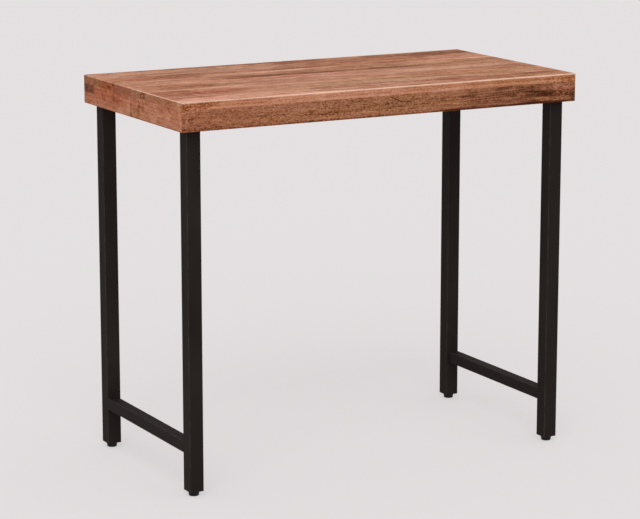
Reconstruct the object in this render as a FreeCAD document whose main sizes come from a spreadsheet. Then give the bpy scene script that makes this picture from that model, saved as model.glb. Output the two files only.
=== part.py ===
import FreeCAD, Part
import os
import Sketcher

# Clerk's standing desk: a thick staved wooden top on two welded frames of black square tube.
# The origin is on the floor under the middle of the top. +X runs to the right along the desk,
# +Y runs from its front to its back and +Z is up. All sizes are in millimetres.

STAVE_COUNT = 6
MITRE_TURN = 45
SAME_PLACE = 1e-6
CORNERS = {
    "front_left": (-1, -1),
    "front_right": (1, -1),
    "back_left": (-1, 1),
    "back_right": (1, 1),
}
ENDS = {"left": -1, "right": 1}
FACES = {"front": -1, "back": 1}
X_AXIS = FreeCAD.Vector(1, 0, 0)
Z_AXIS = FreeCAD.Vector(0, 0, 1)

SIZES = {
    # The desk as a whole
    "desk_height": 1050,
    "top_width": 1200,
    "top_depth": 620,
    # Panel of edge-glued staves
    "panel_thickness": 22,
    "arris_radius": 2.5,
    # Rails that frame the panel from below, mitred at the front corners and lapped at the back
    "rail_width": 70,
    "rail_height": 55,
    "tongue_height": 22,
    "lower_arris_radius": 1.5,
    # Loose keys across the mitres
    "key_length": 50,
    "key_width": 24,
    "key_thickness": 8,
    "key_clearance": 0.5,
    # Batten across the middle of the panel, and its screws
    "batten_width": 70,
    "batten_height": 33,
    "batten_screw_diameter": 5,
    "batten_screw_bite": 14,
    "batten_screw_point": 5,
    "batten_screw_head_diameter": 9.6,
    "batten_screw_head_height": 3,
    # Legs and stretchers of square tube
    "leg_size": 40,
    "leg_wall": 2,
    "leg_corner_radius": 2,
    "end_inset": 25,
    "front_inset": 25,
    "stretcher_size": 32,
    "stretcher_wall": 2,
    "stretcher_corner_radius": 2,
    "stretcher_lift": 114,
    "tube_inner_radius": 1,
    # Plates on top of the legs, screwed to the rails
    "plate_thickness": 4,
    "plate_corner_radius": 5,
    "plate_first_hole": 18,
    "plate_hole_pitch": 40,
    "plate_hole_edge": 12,
    # Machine screws of the plates, and the threaded inserts in the rails
    "screw_diameter": 6,
    "screw_length": 16,
    "screw_head_diameter": 10.5,
    "screw_head_height": 3.3,
    "screw_rim_bevel": 1.6,
    "screw_socket": 4,
    "screw_socket_depth": 2,
    "screw_hole_clearance": 0.3,
    "insert_diameter": 10,
    "insert_length": 14,
    "insert_edge": 8,
    # Threaded plugs in the lower ends of the legs
    "plug_flange": 3,
    "plug_flange_bevel": 1,
    "plug_depth": 22,
    "plug_wall": 2.5,
    "plug_rib": 3,
    "plug_boss_diameter": 16,
    "plug_clearance": 0.15,
    # Levelling feet: a round pad on a threaded stud
    "foot_diameter": 30,
    "foot_base_diameter": 27,
    "foot_height": 13,
    "foot_edge_bevel": 1.6,
    "foot_rim_bevel": 0.8,
    "foot_sole": 4,
    "stud_diameter": 8,
    "stud_length": 34,
    "stud_point": 1,
    "thread_clearance": 0.05,
    # How far a cut runs past the face that it opens
    "overrun": 1,
}

# Places that several pieces share, written in the sizes of the sheet named size
STAVE_WIDTH = f"(size.top_depth / {STAVE_COUNT})"
PANEL_UNDERSIDE = "(size.desk_height - size.panel_thickness)"
RAIL_UNDERSIDE = f"({PANEL_UNDERSIDE} - size.rail_height)"
LOWER_LAP = "(size.rail_height - size.tongue_height)"
LONG_RAIL_Y = "(size.top_depth / 2 - size.rail_width / 2)"
END_RAIL_X = "(size.top_width / 2 - size.rail_width / 2)"
PAST_RAIL = "(size.rail_width / 2 + size.overrun)"
KEY_LIFT = "(size.rail_height / 2 - size.key_thickness / 2)"
PLATE_UNDERSIDE = f"({RAIL_UNDERSIDE} - size.plate_thickness)"
LEG_BOTTOM = "(size.foot_height + size.plug_flange)"
LEG_BORE = "(size.leg_size - 2 * size.leg_wall)"
LEG_X = "(size.top_width / 2 - size.end_inset - size.leg_size / 2)"
LEG_Y = "(size.top_depth / 2 - size.front_inset - size.leg_size / 2)"
BATTEN_LENGTH = "(size.top_depth - 2 * size.rail_width)"
BATTEN_UNDERSIDE = f"({PANEL_UNDERSIDE} - size.batten_height)"
INSERT_HOLE = "(size.insert_diameter + 2 * size.thread_clearance)"
THREADED_HOLE = "(size.screw_diameter + 2 * size.thread_clearance)"
STUD_HOLE = "(size.stud_diameter + 2 * size.thread_clearance)"


def arm_holes(inset):
    """Places of the holes along one arm of a plate, from the leg's middle, clear of the joint above."""
    past_leg = "size.leg_size / 2 + size.plate_first_hole"
    shoulder = f"size.rail_width - {inset} - size.leg_size / 2"
    past_joint = f"{shoulder} + size.insert_edge + size.insert_diameter / 2"
    first = f"max({past_leg}; {past_joint})"
    return first, f"({first} + size.plate_hole_pitch)"


X_HOLES = arm_holes("size.end_inset")
Y_HOLES = arm_holes("size.front_inset")

doc = FreeCAD.newDocument("standing_desk")
sheet = doc.addObject("Spreadsheet::Sheet", "size")
for row, (alias, number) in enumerate(SIZES.items(), start=1):
    sheet.set(f"A{row}", alias)
    sheet.set(f"B{row}", str(number))
    sheet.setAlias(f"B{row}", alias)
doc.recompute()

nodes = []


def value(expression):
    """Work out an expression of the sheet's sizes."""
    return float(sheet.evalExpression(expression))


def new_body(name):
    """Start a piece of the desk."""
    body = doc.addObject("PartDesign::Body", name)
    body.Label = name
    return body


def place(piece, x="0", y="0", z="0", axis=Z_AXIS, turn=0):
    """Put a finished piece at its place on the desk, turned about an axis, and list it."""
    piece.Placement = FreeCAD.Placement(FreeCAD.Vector(), FreeCAD.Rotation(axis, turn))
    for direction, expression in zip("xyz", (x, y, z)):
        piece.setExpression(f"Placement.Base.{direction}", expression)
    nodes.append(piece)


def new_sketch(body, name, role="XY_Plane", lift="0"):
    """Open a sketch on one of the body's own planes, lifted along that plane's normal."""
    sketch = body.newObject("Sketcher::SketchObject", f"{body.Name}_{name}")
    plane = next(feature for feature in body.Origin.OriginFeatures if feature.Role == role)
    sketch.AttachmentSupport = [(plane, "")]
    sketch.MapMode = "FlatFace"
    sketch.setExpression("AttachmentOffset.Base.z", lift)
    return sketch


def pin(sketch, line, vertex, point):
    """Hold a point of a sketch at expressions across and up from its origin."""
    for kind, expression in zip(("DistanceX", "DistanceY"), point):
        constraint = Sketcher.Constraint(kind, -1, 1, line, vertex, value(expression))
        index = sketch.addConstraint(constraint)
        sketch.setExpression(f"Constraints[{index}]", expression)


def draw_outline(sketch, points):
    """Draw a closed outline of straight lines through points given as pairs of expressions."""
    first = sketch.GeometryCount
    corners = [FreeCAD.Vector(value(across), value(up), 0) for across, up in points]
    for start, end in zip(corners, corners[1:] + corners[:1]):
        sketch.addGeometry(Part.LineSegment(start, end))
    for step, point in enumerate(points):
        line = first + step
        following = first + (step + 1) % len(points)
        sketch.addConstraint(Sketcher.Constraint("Coincident", line, 2, following, 1))
        pin(sketch, line, 1, point)


def draw_box(sketch, left, front, right, back):
    """Draw a rectangle between two pairs of expressions."""
    draw_outline(sketch, [(left, front), (right, front), (right, back), (left, back)])


def draw_middle_box(sketch, width, depth):
    """Draw a rectangle about the sketch's origin."""
    draw_box(sketch, f"-{width} / 2", f"-{depth} / 2", f"{width} / 2", f"{depth} / 2")


def draw_circle(sketch, diameter, across="0", up="0"):
    """Draw a circle with its centre at a pair of expressions."""
    centre = FreeCAD.Vector(value(across), value(up), 0)
    circle = sketch.addGeometry(Part.Circle(centre, Z_AXIS, value(diameter) / 2))
    pin(sketch, circle, 3, (across, up))
    index = sketch.addConstraint(Sketcher.Constraint("Diameter", circle, value(diameter)))
    sketch.setExpression(f"Constraints[{index}]", diameter)


def pad(body, sketch, length):
    """Raise a sketch into a solid along its normal."""
    feature = body.newObject("PartDesign::Pad", f"{sketch.Name}_pad")
    feature.Profile = sketch
    feature.setExpression("Length", length)
    doc.recompute()
    return feature


def pocket_up(body, sketch, depth):
    """Cut a sketch into the solid along the sketch's normal."""
    before = body.Shape.Volume
    feature = body.newObject("PartDesign::Pocket", f"{sketch.Name}_pocket")
    feature.Profile = sketch
    feature.Reversed = True
    feature.setExpression("Length", depth)
    doc.recompute()
    if body.Shape.Volume >= before:
        raise RuntimeError(f"{feature.Name} cuts nothing")
    return feature


def revolve(body, points):
    """Turn an outline of radius and height about the Z axis."""
    sketch = new_sketch(body, "profile", "XZ_Plane")
    draw_outline(sketch, points)
    feature = body.newObject("PartDesign::Revolution", f"{body.Name}_turning")
    feature.Profile = sketch
    feature.ReferenceAxis = (sketch, ["V_Axis"])
    doc.recompute()
    return feature


def near(first, second):
    """Tell whether two lengths are the same."""
    return abs(first - second) < SAME_PLACE


def box_edges(shape, side_pairs):
    """Name the edges where two sides of the shape's box meet, such as ("XMin", "ZMax")."""
    box = shape.BoundBox
    names = []
    for index, edge in enumerate(shape.Edges, start=1):
        for pair in side_pairs:
            spots = [(getattr(vertex, side[0]), side) for side in pair for vertex in edge.Vertexes]
            if all(near(spot, getattr(box, side)) for spot, side in spots):
                names.append(f"Edge{index}")
    return names


def upright_edges(shape, chosen):
    """Name the straight edges along Z where chosen, a test of X and Y, holds."""
    names = []
    for index, edge in enumerate(shape.Edges, start=1):
        start, end = edge.Vertexes[0], edge.Vertexes[-1]
        upright = near(start.X, end.X) and near(start.Y, end.Y) and not near(start.Z, end.Z)
        if upright and chosen(start.X, start.Y):
            names.append(f"Edge{index}")
    return names


def square_corners(shape, side):
    """Name the upright edges of a square about the Z axis."""
    reach = value(side) / 2
    return upright_edges(shape, lambda x, y: near(abs(x), reach) and near(abs(y), reach))


def circle_edges(shape, radius, height):
    """Name the circles about the Z axis with a given radius and height."""
    names = []
    for index, edge in enumerate(shape.Edges, start=1):
        if not isinstance(edge.Curve, Part.Circle):
            continue
        if near(edge.Curve.Radius, value(radius)) and near(edge.Curve.Center.z, value(height)):
            names.append(f"Edge{index}")
    return names


def round_edges(body, base, names, radius):
    """Round the named edges of a feature."""
    feature = body.newObject("PartDesign::Fillet", f"{base.Name}_round")
    feature.Base = (base, names)
    feature.setExpression("Radius", radius)
    doc.recompute()
    return feature


def bevel_edges(body, base, names, width):
    """Bevel the named edges of a feature."""
    feature = body.newObject("PartDesign::Chamfer", f"{base.Name}_bevel")
    feature.Base = (base, names)
    feature.setExpression("Size", width)
    doc.recompute()
    return feature


def square_tube(body, side, wall, length, outer_radius):
    """Make a square tube along Z about the body's origin, with rounded corners inside and out."""
    sketch = new_sketch(body, "section")
    bore = f"({side} - 2 * {wall})"
    draw_middle_box(sketch, side, side)
    draw_middle_box(sketch, bore, bore)
    tube = pad(body, sketch, length)
    tube = round_edges(body, tube, square_corners(tube.Shape, side), outer_radius)
    round_edges(body, tube, square_corners(tube.Shape, bore), "size.tube_inner_radius")


def group_of(name, pattern, spots):
    """Repeat a fastener at each spot, as separate solids of one piece."""
    group = doc.addObject("Part::Feature", name)
    group.Label = name
    copies = []
    for x, y, z in spots:
        fastener = pattern.Shape.copy()
        fastener.translate(FreeCAD.Vector(value(x), value(y), value(z)))
        copies.append(fastener)
    group.Shape = Part.makeCompound(copies)
    nodes.append(group)


def stave_middle(index):
    """Distance of a stave's middle line behind the middle of the desk."""
    return f"({STAVE_WIDTH} * ({index} + 0.5) - size.top_depth / 2)"


def batten_staves():
    """The staves that lie wholly over the batten, between the front and back rails."""
    half_batten = value(BATTEN_LENGTH) / 2
    half_stave = value(STAVE_WIDTH) / 2
    return [i for i in range(STAVE_COUNT) if abs(value(stave_middle(i))) + half_stave < half_batten]


def make_stave(index):
    """One board of the panel, eased where it meets the outside of the top."""
    body = new_body(f"top_stave_{index + 1}")
    sketch = new_sketch(body, "board")
    draw_middle_box(sketch, "size.top_width", STAVE_WIDTH)
    board = pad(body, sketch, "size.panel_thickness")
    eased = [("XMin", "ZMax"), ("XMax", "ZMax")]
    if index == 0:
        eased += [("YMin", "ZMax"), ("XMin", "YMin"), ("XMax", "YMin")]
    if index == STAVE_COUNT - 1:
        eased += [("YMax", "ZMax"), ("XMin", "YMax"), ("XMax", "YMax")]
    round_edges(body, board, box_edges(board.Shape, eased), "size.arris_radius")
    if index in batten_staves():
        pilot = new_sketch(body, "pilot_hole")
        draw_circle(pilot, "size.batten_screw_diameter + 2 * size.thread_clearance")
        pocket_up(body, pilot, "size.batten_screw_bite + size.overrun")
    place(body, y=stave_middle(index), z=PANEL_UNDERSIDE)


def key_slot(end, x, y):
    """Corners of a key's slot, whose length lies along the mitre of a front corner."""
    half_length = "size.key_length / 2"
    half_width = "(size.key_width / 2 + size.key_clearance)"
    points = []
    for along, aside in ((-1, -1), (1, -1), (1, 1), (-1, 1)):
        across = f"({along} * {half_length} + {aside} * {half_width}) * cos({MITRE_TURN} deg)"
        up = f"({along} * {half_length} - {aside} * {half_width}) * sin({MITRE_TURN} deg)"
        points.append((f"{x} - {end} * {across}", f"{y} + {up}"))
    return points


def cut_mitres(body, triangles, slots):
    """Cut a rail away to the mitres at its front corners, and sink the slots of their keys."""
    mitres = new_sketch(body, "mitres", lift="-size.overrun")
    for triangle in triangles:
        draw_outline(mitres, triangle)
    pocket_up(body, mitres, "size.rail_height + 2 * size.overrun")
    key_slots = new_sketch(body, "key_slots", lift=KEY_LIFT)
    for slot in slots:
        draw_outline(key_slots, slot)
    pocket_up(body, key_slots, "size.key_thickness")


def sink_insert_holes(body, spots):
    """Sink holes for the threaded inserts into the underside of a rail."""
    holes = new_sketch(body, "insert_holes")
    for across, up in spots:
        draw_circle(holes, INSERT_HOLE, across, up)
    pocket_up(body, holes, "size.insert_length")


def long_board(body, outer):
    """A board as long as the desk is wide, eased at the two corners of its outer face."""
    board = new_sketch(body, "board")
    draw_middle_box(board, "size.top_width", "size.rail_width")
    base = pad(body, board, "size.rail_height")
    corners = box_edges(base.Shape, [("XMin", outer), ("XMax", outer)])
    return round_edges(body, base, corners, "size.arris_radius")


def finish_long_rail(body, side):
    """Sink the insert holes of a front or back rail, and put it at its place."""
    spots = []
    for end in ENDS.values():
        spots += [(f"{end} * ({LEG_X} - {hole})", f"{side} * ({LEG_Y} - {LONG_RAIL_Y})") for hole in X_HOLES]
    sink_insert_holes(body, spots)
    place(body, y=f"{side} * {LONG_RAIL_Y}", z=RAIL_UNDERSIDE)


def make_front_rail():
    """Front rail, mitred to the end rails so that its face runs from corner to corner."""
    body = new_body("front_rail")
    rail = long_board(body, "YMin")
    round_edges(body, rail, box_edges(rail.Shape, [("YMin", "ZMin")]), "size.lower_arris_radius")
    triangles = []
    slots = []
    for end in ENDS.values():
        tip = f"{end} * (size.top_width / 2 + size.overrun)"
        heel = f"{end} * (size.top_width / 2 - size.rail_width - size.overrun)"
        triangles.append([(tip, f"-{PAST_RAIL}"), (heel, PAST_RAIL), (tip, PAST_RAIL)])
        slots.append(key_slot(end, f"{end} * {END_RAIL_X}", "0"))
    cut_mitres(body, triangles, slots)
    finish_long_rail(body, FACES["front"])


def make_back_rail():
    """Back rail: its upper tongues run out over the end rails to both ends of the desk."""
    body = new_body("back_rail")
    long_board(body, "YMax")
    laps = new_sketch(body, "laps", lift="-size.overrun")
    shoulder = "size.top_width / 2 - size.rail_width"
    past_end = "size.top_width / 2 + size.overrun"
    draw_box(laps, shoulder, f"-{PAST_RAIL}", past_end, PAST_RAIL)
    draw_box(laps, f"-({past_end})", f"-{PAST_RAIL}", f"-({shoulder})", PAST_RAIL)
    rail = pocket_up(body, laps, f"{LOWER_LAP} + size.overrun")
    round_edges(body, rail, box_edges(rail.Shape, [("YMax", "ZMin")]), "size.lower_arris_radius")
    finish_long_rail(body, FACES["back"])


def make_end_rail(name, end):
    """Left or right rail, mitred at the front, with a lower tongue at the back under the back rail's."""
    body = new_body(name)
    outer = "XMin" if end < 0 else "XMax"
    board = new_sketch(body, "board")
    draw_middle_box(board, "size.rail_width", "size.top_depth")
    rail = pad(body, board, "size.rail_height")
    corners = box_edges(rail.Shape, [(outer, "YMin"), (outer, "YMax")])
    round_edges(body, rail, corners, "size.arris_radius")
    lap = new_sketch(body, "lap", lift=LOWER_LAP)
    shoulder = "size.top_depth / 2 - size.rail_width"
    draw_box(lap, f"-{PAST_RAIL}", shoulder, PAST_RAIL, "size.top_depth / 2 + size.overrun")
    rail = pocket_up(body, lap, "size.tongue_height + size.overrun")
    lower = box_edges(rail.Shape, [(outer, "ZMin"), ("YMax", "ZMin")])
    round_edges(body, rail, lower, "size.lower_arris_radius")
    tip = "-(size.top_depth / 2 + size.overrun)"
    heel = f"-({shoulder} - size.overrun)"
    inner = f"{-end} * {PAST_RAIL}"
    triangle = [(f"{end} * {PAST_RAIL}", tip), (inner, heel), (inner, tip)]
    cut_mitres(body, [triangle], [key_slot(end, "0", f"-{LONG_RAIL_Y}")])
    spots = []
    for side in FACES.values():
        spots += [(f"{end} * ({LEG_X} - {END_RAIL_X})", f"{side} * ({LEG_Y} - {hole})") for hole in Y_HOLES]
    sink_insert_holes(body, spots)
    place(body, x=f"{end} * {END_RAIL_X}", z=RAIL_UNDERSIDE)


def make_mitre_key(name, end):
    """Loose tongue across the mitre of a front corner, sunk in both rails."""
    body = new_body(name)
    plan = new_sketch(body, "plan")
    draw_middle_box(plan, "size.key_length", "size.key_width")
    pad(body, plan, "size.key_thickness")
    height = f"{RAIL_UNDERSIDE} + {KEY_LIFT}"
    place(body, f"{end} * {END_RAIL_X}", f"-{LONG_RAIL_Y}", height, turn=-end * MITRE_TURN)


def make_batten():
    """Batten across the middle, which keeps the panel flat, and the screws through it."""
    body = new_body("centre_batten")
    board = new_sketch(body, "board")
    draw_middle_box(board, "size.batten_width", BATTEN_LENGTH)
    pad(body, board, "size.batten_height")
    holes = new_sketch(body, "screw_holes", lift="-size.overrun")
    for index in batten_staves():
        hole = "size.batten_screw_diameter + 2 * size.screw_hole_clearance"
        draw_circle(holes, hole, up=stave_middle(index))
    pocket_up(body, holes, "size.batten_height + 2 * size.overrun")
    place(body, z=BATTEN_UNDERSIDE)

    screw = new_body("batten_screw_pattern")
    shank = "size.batten_screw_diameter / 2"
    head = "size.batten_screw_head_diameter / 2"
    tip = "size.batten_height + size.batten_screw_bite"
    turning = revolve(screw, [
        ("0", "-size.batten_screw_head_height"),
        (head, "-size.batten_screw_head_height"),
        (head, "0"),
        (shank, "0"),
        (shank, f"{tip} - size.batten_screw_point"),
        ("0", tip),
    ])
    rim = circle_edges(turning.Shape, head, "-size.batten_screw_head_height")
    bevel_edges(screw, turning, rim, "size.batten_screw_head_height / 2")
    group_of("batten_screws", screw, [("0", stave_middle(i), BATTEN_UNDERSIDE) for i in batten_staves()])


def make_leg(corner, end, side):
    """One leg tube, from the flange of its plug to the plate welded on its top."""
    body = new_body(f"{corner}_leg")
    length = f"{PLATE_UNDERSIDE} - {LEG_BOTTOM}"
    square_tube(body, "size.leg_size", "size.leg_wall", length, "size.leg_corner_radius")
    place(body, f"{end} * {LEG_X}", f"{side} * {LEG_Y}", LEG_BOTTOM)


def make_stretcher(name, end):
    """Low tube between the front and back leg of one frame, flush with their outer faces."""
    body = new_body(name)
    back_end = f"({LEG_Y} - size.leg_size / 2)"
    length = f"2 * {back_end}"
    square_tube(body, "size.stretcher_size", "size.stretcher_wall", length, "size.stretcher_corner_radius")
    middle = "(size.top_width / 2 - size.end_inset - size.stretcher_size / 2)"
    height = "size.stretcher_lift + size.stretcher_size / 2"
    place(body, f"{end} * {middle}", back_end, height, axis=X_AXIS, turn=90)


def make_plate(corner, end, side):
    """L-shaped plate welded on a leg, with an arm along each of the two rails above it."""
    body = new_body(f"{corner}_plate")
    turn = {(-1, -1): 0, (1, -1): 90, (1, 1): 180, (-1, 1): 270}[end, side]
    across_holes, up_holes = (Y_HOLES, X_HOLES) if turn % 180 else (X_HOLES, Y_HOLES)
    half_leg = "size.leg_size / 2"
    across_end = f"{across_holes[-1]} + size.plate_hole_edge"
    up_end = f"{up_holes[-1]} + size.plate_hole_edge"
    outline = new_sketch(body, "outline")
    draw_outline(outline, [
        (f"-{half_leg}", f"-{half_leg}"),
        (across_end, f"-{half_leg}"),
        (across_end, half_leg),
        (half_leg, half_leg),
        (half_leg, up_end),
        (f"-{half_leg}", up_end),
    ])
    plate = pad(body, outline, "size.plate_thickness")
    over_leg = box_edges(plate.Shape, [("XMin", "YMin")])
    plate = round_edges(body, plate, over_leg, "size.leg_corner_radius")
    right, top = value(across_end), value(up_end)
    arm_ends = upright_edges(plate.Shape, lambda x, y: near(x, right) or near(y, top))
    round_edges(body, plate, arm_ends, "size.plate_corner_radius")
    holes = new_sketch(body, "screw_holes", lift="-size.overrun")
    diameter = "size.screw_diameter + 2 * size.screw_hole_clearance"
    for across_hole, up_hole in zip(across_holes, up_holes):
        draw_circle(holes, diameter, across=across_hole)
        draw_circle(holes, diameter, up=up_hole)
    pocket_up(body, holes, "size.plate_thickness + 2 * size.overrun")
    place(body, f"{end} * {LEG_X}", f"{side} * {LEG_Y}", PLATE_UNDERSIDE, turn=turn)


def plate_screw_spots(height):
    """The middle of every screw of the four plates, at a given height."""
    spots = []
    for end, side in CORNERS.values():
        for x_hole, y_hole in zip(X_HOLES, Y_HOLES):
            spots.append((f"{end} * ({LEG_X} - {x_hole})", f"{side} * {LEG_Y}", height))
            spots.append((f"{end} * {LEG_X}", f"{side} * ({LEG_Y} - {y_hole})", height))
    return spots


def make_plate_screws():
    """Button-head screws that hold the plates up against the rails."""
    screw = new_body("plate_screw_pattern")
    shank = "size.screw_diameter / 2"
    head = "size.screw_head_diameter / 2"
    turning = revolve(screw, [
        ("0", "-size.screw_head_height"),
        (head, "-size.screw_head_height"),
        (head, "0"),
        (shank, "0"),
        (shank, "size.screw_length"),
        ("0", "size.screw_length"),
    ])
    rim = circle_edges(turning.Shape, head, "-size.screw_head_height")
    bevel_edges(screw, turning, rim, "size.screw_rim_bevel")
    socket = new_sketch(screw, "socket", lift="-size.screw_head_height - size.overrun")
    reach = "size.screw_socket / sqrt(3)"
    draw_outline(socket, [
        (f"{reach} * cos({angle} deg)", f"{reach} * sin({angle} deg)") for angle in range(0, 360, 60)
    ])
    pocket_up(screw, socket, "size.screw_socket_depth + size.overrun")
    group_of("plate_screws", screw, plate_screw_spots(PLATE_UNDERSIDE))


def make_plate_inserts():
    """Threaded inserts sunk flush into the undersides of the rails."""
    insert = new_body("plate_insert_pattern")
    ring = new_sketch(insert, "ring")
    draw_circle(ring, "size.insert_diameter")
    draw_circle(ring, THREADED_HOLE)
    pad(insert, ring, "size.insert_length")
    group_of("plate_inserts", insert, plate_screw_spots(RAIL_UNDERSIDE))


def make_plug(corner, end, side):
    """Moulded plug in the foot of a leg: a flange, a ribbed stem and a threaded boss."""
    body = new_body(f"{corner}_leg_plug")
    flange = new_sketch(body, "flange")
    draw_middle_box(flange, "size.leg_size", "size.leg_size")
    base = pad(body, flange, "size.plug_flange")
    corners = square_corners(base.Shape, "size.leg_size")
    base = round_edges(body, base, corners, "size.leg_corner_radius")
    below = box_edges(base.Shape, [("XMin", "ZMin"), ("XMax", "ZMin"), ("YMin", "ZMin"), ("YMax", "ZMin")])
    bevel_edges(body, base, below, "size.plug_flange_bevel")
    stem_side = f"({LEG_BORE} - 2 * size.plug_clearance)"
    hollow = f"({stem_side} - 2 * size.plug_wall)"
    wall = new_sketch(body, "stem_wall", lift="size.plug_flange")
    draw_middle_box(wall, stem_side, stem_side)
    draw_middle_box(wall, hollow, hollow)
    stem = pad(body, wall, "size.plug_depth")
    round_edges(body, stem, square_corners(stem.Shape, stem_side), "size.tube_inner_radius")
    for name, width, depth in (("rib", hollow, "size.plug_rib"), ("cross_rib", "size.plug_rib", hollow)):
        rib = new_sketch(body, name, lift="size.plug_flange")
        draw_middle_box(rib, width, depth)
        pad(body, rib, "size.plug_depth")
    boss = new_sketch(body, "boss", lift="size.plug_flange")
    draw_circle(boss, "size.plug_boss_diameter")
    pad(body, boss, "size.plug_depth")
    bore = new_sketch(body, "bore", lift="-size.overrun")
    draw_circle(bore, STUD_HOLE)
    pocket_up(body, bore, "size.plug_flange + size.plug_depth + 2 * size.overrun")
    place(body, f"{end} * {LEG_X}", f"{side} * {LEG_Y}", "size.foot_height")


def make_foot_stud(corner, end, side):
    """Stud of a levelling foot, from its socket in the pad up into the plug."""
    body = new_body(f"{corner}_foot_stud")
    radius = "size.stud_diameter / 2"
    revolve(body, [
        ("0", "0"),
        (radius, "0"),
        (radius, "size.stud_length - size.stud_point"),
        (f"{radius} - size.stud_point", "size.stud_length"),
        ("0", "size.stud_length"),
    ])
    place(body, f"{end} * {LEG_X}", f"{side} * {LEG_Y}", "size.foot_sole")


def make_foot_pad(corner, end, side):
    """Round pad of a levelling foot, tapered to its base, with the socket for its stud."""
    body = new_body(f"{corner}_foot_pad")
    base = "size.foot_base_diameter / 2"
    top = "size.foot_diameter / 2"
    turning = revolve(body, [
        ("0", "0"),
        (base, "0"),
        (top, "size.foot_height"),
        (f"{STUD_HOLE} / 2", "size.foot_height"),
        (f"{STUD_HOLE} / 2", "size.foot_sole"),
        ("0", "size.foot_sole"),
    ])
    foot = bevel_edges(body, turning, circle_edges(turning.Shape, base, "0"), "size.foot_edge_bevel")
    rim = circle_edges(foot.Shape, top, "size.foot_height")
    bevel_edges(body, foot, rim, "size.foot_rim_bevel")
    place(body, f"{end} * {LEG_X}", f"{side} * {LEG_Y}")


for stave in range(STAVE_COUNT):
    make_stave(stave)
make_front_rail()
make_back_rail()
make_batten()
for end_name, end_sign in ENDS.items():
    make_end_rail(f"{end_name}_rail", end_sign)
    make_mitre_key(f"front_{end_name}_mitre_key", end_sign)
    make_stretcher(f"{end_name}_stretcher", end_sign)
for corner_name, (end_sign, face_sign) in CORNERS.items():
    make_leg(corner_name, end_sign, face_sign)
    make_plate(corner_name, end_sign, face_sign)
    make_plug(corner_name, end_sign, face_sign)
    make_foot_stud(corner_name, end_sign, face_sign)
    make_foot_pad(corner_name, end_sign, face_sign)
make_plate_screws()
make_plate_inserts()
doc.recompute()

failed = [item.Name for item in doc.Objects if {"Invalid", "Error"} & set(item.State)]
failed += [node.Label for node in nodes if node.Shape.isNull() or not node.Shape.isValid()]
if failed:
    raise RuntimeError(f"These did not build: {', '.join(failed)}")
os.makedirs("parts", exist_ok=True)
for node in nodes:
    node.Shape.exportStep(f"parts/{node.Label}.step")
print(f"{len(nodes)} pieces built")
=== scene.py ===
import math
from types import SimpleNamespace

import bmesh
import bpy
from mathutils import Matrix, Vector


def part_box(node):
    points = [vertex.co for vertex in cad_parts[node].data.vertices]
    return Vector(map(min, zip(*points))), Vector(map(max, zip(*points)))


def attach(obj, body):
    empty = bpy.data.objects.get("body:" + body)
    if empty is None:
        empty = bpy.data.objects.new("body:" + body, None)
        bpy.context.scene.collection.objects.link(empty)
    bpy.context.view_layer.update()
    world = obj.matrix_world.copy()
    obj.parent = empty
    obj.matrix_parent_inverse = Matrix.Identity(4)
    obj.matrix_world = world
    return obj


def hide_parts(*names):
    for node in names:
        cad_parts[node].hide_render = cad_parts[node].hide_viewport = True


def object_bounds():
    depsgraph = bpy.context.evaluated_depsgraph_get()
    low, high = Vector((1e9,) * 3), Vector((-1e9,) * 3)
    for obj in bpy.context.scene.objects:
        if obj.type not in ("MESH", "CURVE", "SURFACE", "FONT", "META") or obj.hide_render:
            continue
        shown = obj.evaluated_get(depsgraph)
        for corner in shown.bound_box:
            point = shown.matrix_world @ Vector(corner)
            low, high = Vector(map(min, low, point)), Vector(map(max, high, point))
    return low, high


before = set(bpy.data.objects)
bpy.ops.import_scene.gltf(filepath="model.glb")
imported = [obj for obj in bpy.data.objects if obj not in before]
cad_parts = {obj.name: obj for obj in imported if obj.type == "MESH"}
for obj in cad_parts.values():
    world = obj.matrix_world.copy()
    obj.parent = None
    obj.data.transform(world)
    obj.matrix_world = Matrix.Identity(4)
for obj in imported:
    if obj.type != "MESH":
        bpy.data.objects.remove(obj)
cad_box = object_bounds()

# A clerk's standing desk: a staved wooden top on black square tube, dressed over its solids.
# Lengths are in metres. +X runs to the right along the desk, +Y to its back and +Z up.

X, Y, Z = range(3)
CORNERS = ("front_left", "front_right", "back_left", "back_right")
ENDS = ("left", "right")
(LEFT, FRONT, FLOOR), (RIGHT, BACK, TOP) = cad_box


def srgb(red, green, blue):
    """A colour of 0 to 255 levels as the linear colour that shaders use."""
    levels = [level / 255 for level in (red, green, blue)]
    linear = [x / 12.92 if x <= 0.04045 else ((x + 0.055) / 1.055) ** 2.4 for x in levels]
    return (*linear, 1.0)


def middle(node):
    """The middle of a node's box."""
    lowest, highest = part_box(node)
    return (lowest + highest) / 2


# Shader nodes

# Noise and tones vary about this level
MIDDLE_LEVEL = 0.5
# A seed moves a noise pattern by these steps, so that no two boards share a part of it
SEED_STEPS = (1.0, 1.7, 2.3)
# Where a Mix node keeps its two colours and their mixture
FIRST_COLOUR, SECOND_COLOUR = 6, 7
MIXED_COLOUR = 2


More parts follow.
